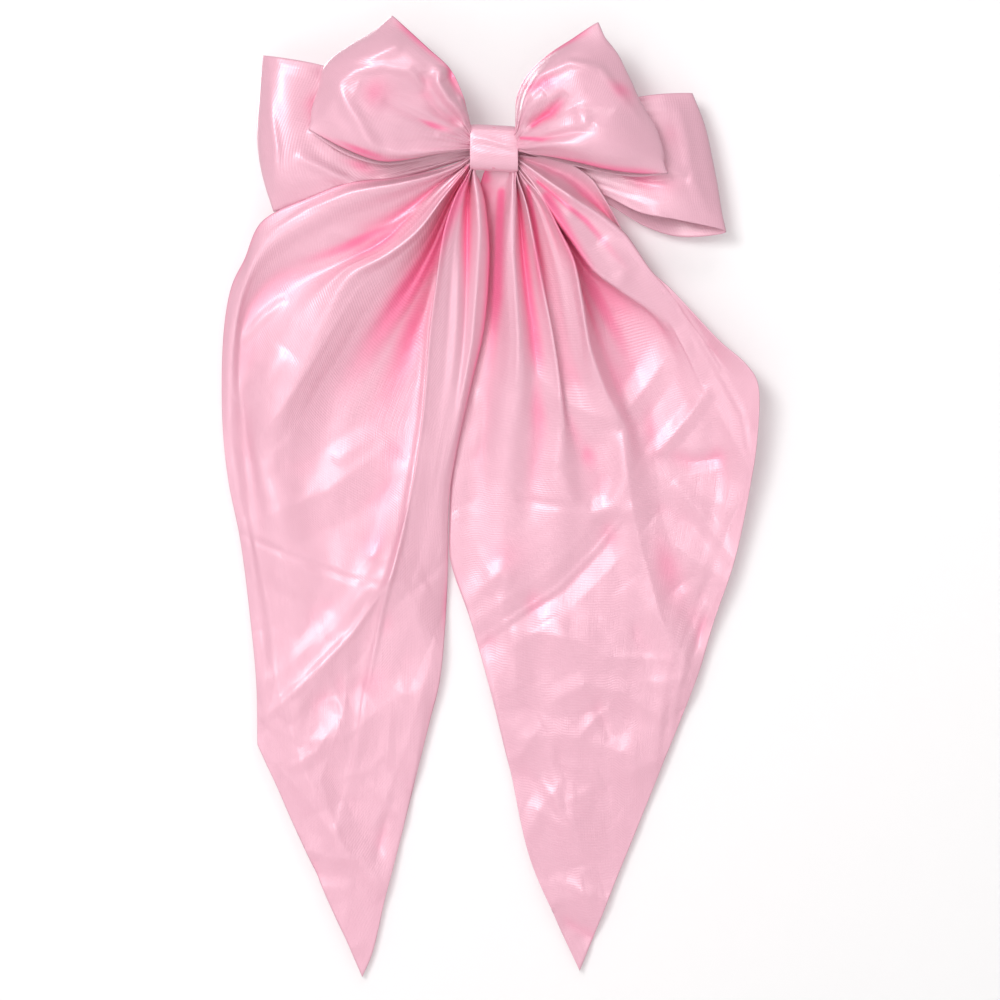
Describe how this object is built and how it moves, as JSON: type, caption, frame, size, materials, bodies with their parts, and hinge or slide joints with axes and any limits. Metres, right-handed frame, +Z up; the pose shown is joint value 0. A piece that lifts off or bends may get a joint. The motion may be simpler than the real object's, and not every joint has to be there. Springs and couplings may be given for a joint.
{
  "type": "alligator hair clip with a long-tailed satin bow",
  "caption": "Large pink satin bow with long pointed pleated tails, sewn around a sprung metal alligator hair clip.",
  "frame": {"origin": "middle of the hair gap between the clip's jaws, behind the centre band", "axes": "+Z up as worn, along the tails towards the bow; +X to the viewer's right; the front of the bow faces -Y and the hair is on +Y"},
  "size_m": [0.2212, 0.0453, 0.3988],
  "materials": {
    "pink_satin": "glossy satin",
    "pink_thread": "polyester sewing thread",
    "glue": "hot-melt glue",
    "plated_steel": "nickel plate",
    "pin_steel": "nickel plate",
    "spring_wire": "spring wire"
  },
  "bodies": {
    "bow": {"front_loop_ribbon": "pink_satin", "back_loop_ribbon": "pink_satin", "tail_ribbon": "pink_satin", "centre_band": "pink_satin", "front_gather_thread": "pink_thread", "tail_gather_thread": "pink_thread", "back_gather_thread": "pink_thread", "band_seam_stitches": "pink_thread", "glue_pad": "glue", "outer_jaw": "plated_steel", "hinge_pin": "pin_steel", "torsion_spring": "spring_wire"},
    "inner_jaw": {"inner_jaw": "plated_steel"}
  },
  "joints": [
    {"name": "jaw_hinge", "type": "hinge", "parent": "bow", "child": "inner_jaw", "pos_m": [0.016, 0.0004, 0], "axis": [0, 0, -1], "range_deg": [0, 30], "stiffness_Nm_per_rad": 0.12, "springref_deg": -51.57, "deforming": ["torsion_spring"]}
  ]
}
